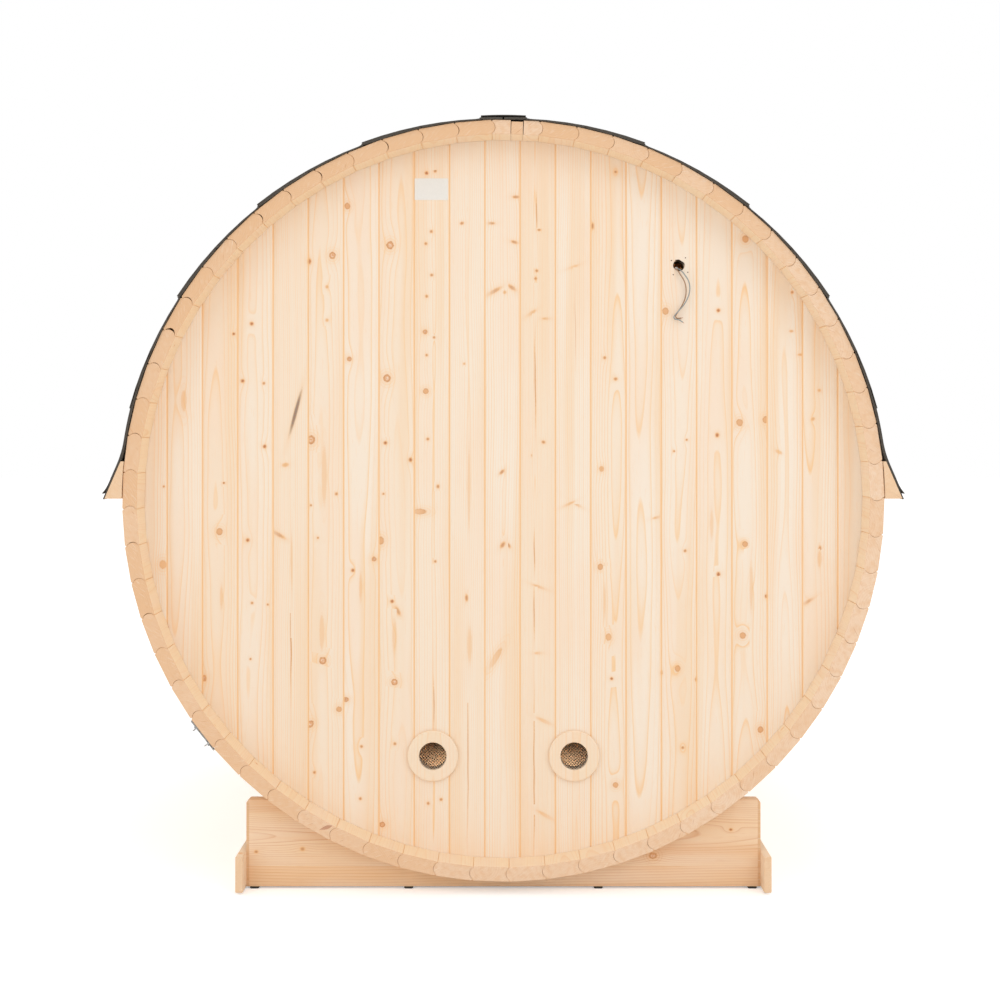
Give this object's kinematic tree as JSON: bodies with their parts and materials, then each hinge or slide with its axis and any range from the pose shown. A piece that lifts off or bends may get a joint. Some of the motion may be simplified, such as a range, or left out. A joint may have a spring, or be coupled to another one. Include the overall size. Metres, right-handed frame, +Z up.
{
  "type": "barrel sauna",
  "caption": "Barrel sauna of bead and cove staves lying on saddle boards, with recessed boarded end walls, vented rear wall, steel bands and a shingle roof.",
  "frame": {"origin": "on the ground, under the middle of the barrel", "axes": "+X to the right seen from the rear, +Y along the barrel from the rear wall to the door, +Z up"},
  "size_m": [2.0018, 2.008, 1.945],
  "materials": {
    "stave_wood": "planed spruce, unpainted",
    "wall_wood": "planed spruce boards, unpainted",
    "base_wood": "planed, lightly stained",
    "batten_wood": "sawn",
    "joinery_wood": "planed",
    "shingle": "bitumen with mineral granules",
    "zinc_steel": "zinc plated",
    "pad_rubber": "matt black",
    "sheath_white": "white cable sheath",
    "core_grey": "grey insulation",
    "core_brown": "brown insulation"
  },
  "bodies": {
    "root": {"base_rails": "base_wood", "closing_staves": "stave_wood", "closing_strip": "stave_wood", "door_head_and_sill": "joinery_wood", "door_hinges": "zinc_steel", "door_jambs": "joinery_wood", "door_knob": "joinery_wood", "door_leaf": "joinery_wood", "eaves_battens": "batten_wood", "eaves_strip_left": "shingle", "eaves_strip_right": "shingle", "floor_staves_even": "stave_wood", "floor_staves_odd": "stave_wood", "front_band_bolt": "zinc_steel", "front_band_lugs": "zinc_steel", "front_cradle": "base_wood", "front_foot_pads": "pad_rubber", "front_tension_band": "zinc_steel", "front_wall_left": "wall_wood", "front_wall_over_door": "wall_wood", "front_wall_right": "wall_wood", "front_wall_under_door": "wall_wood", "lead_brown": "core_brown", "lead_grey": "core_grey", "lead_sheath": "sheath_white", "left_staves_even": "stave_wood", "left_staves_odd": "stave_wood", "rear_band_bolt": "zinc_steel", "rear_band_lugs": "zinc_steel", "rear_cradle": "base_wood", "rear_foot_pads": "pad_rubber", "rear_tension_band": "zinc_steel", "rear_wall_left": "wall_wood", "rear_wall_middle_left": "wall_wood", "rear_wall_middle_right": "wall_wood", "rear_wall_right": "wall_wood", "ridge_cap": "shingle", "right_staves_even": "stave_wood", "right_staves_odd": "stave_wood", "roof_course_1": "shingle", "roof_course_2": "shingle", "roof_course_3": "shingle", "roof_course_4": "shingle", "roof_staves_even": "stave_wood", "roof_staves_odd": "stave_wood", "vent_rings": "joinery_wood"}
  },
  "joints": []
}
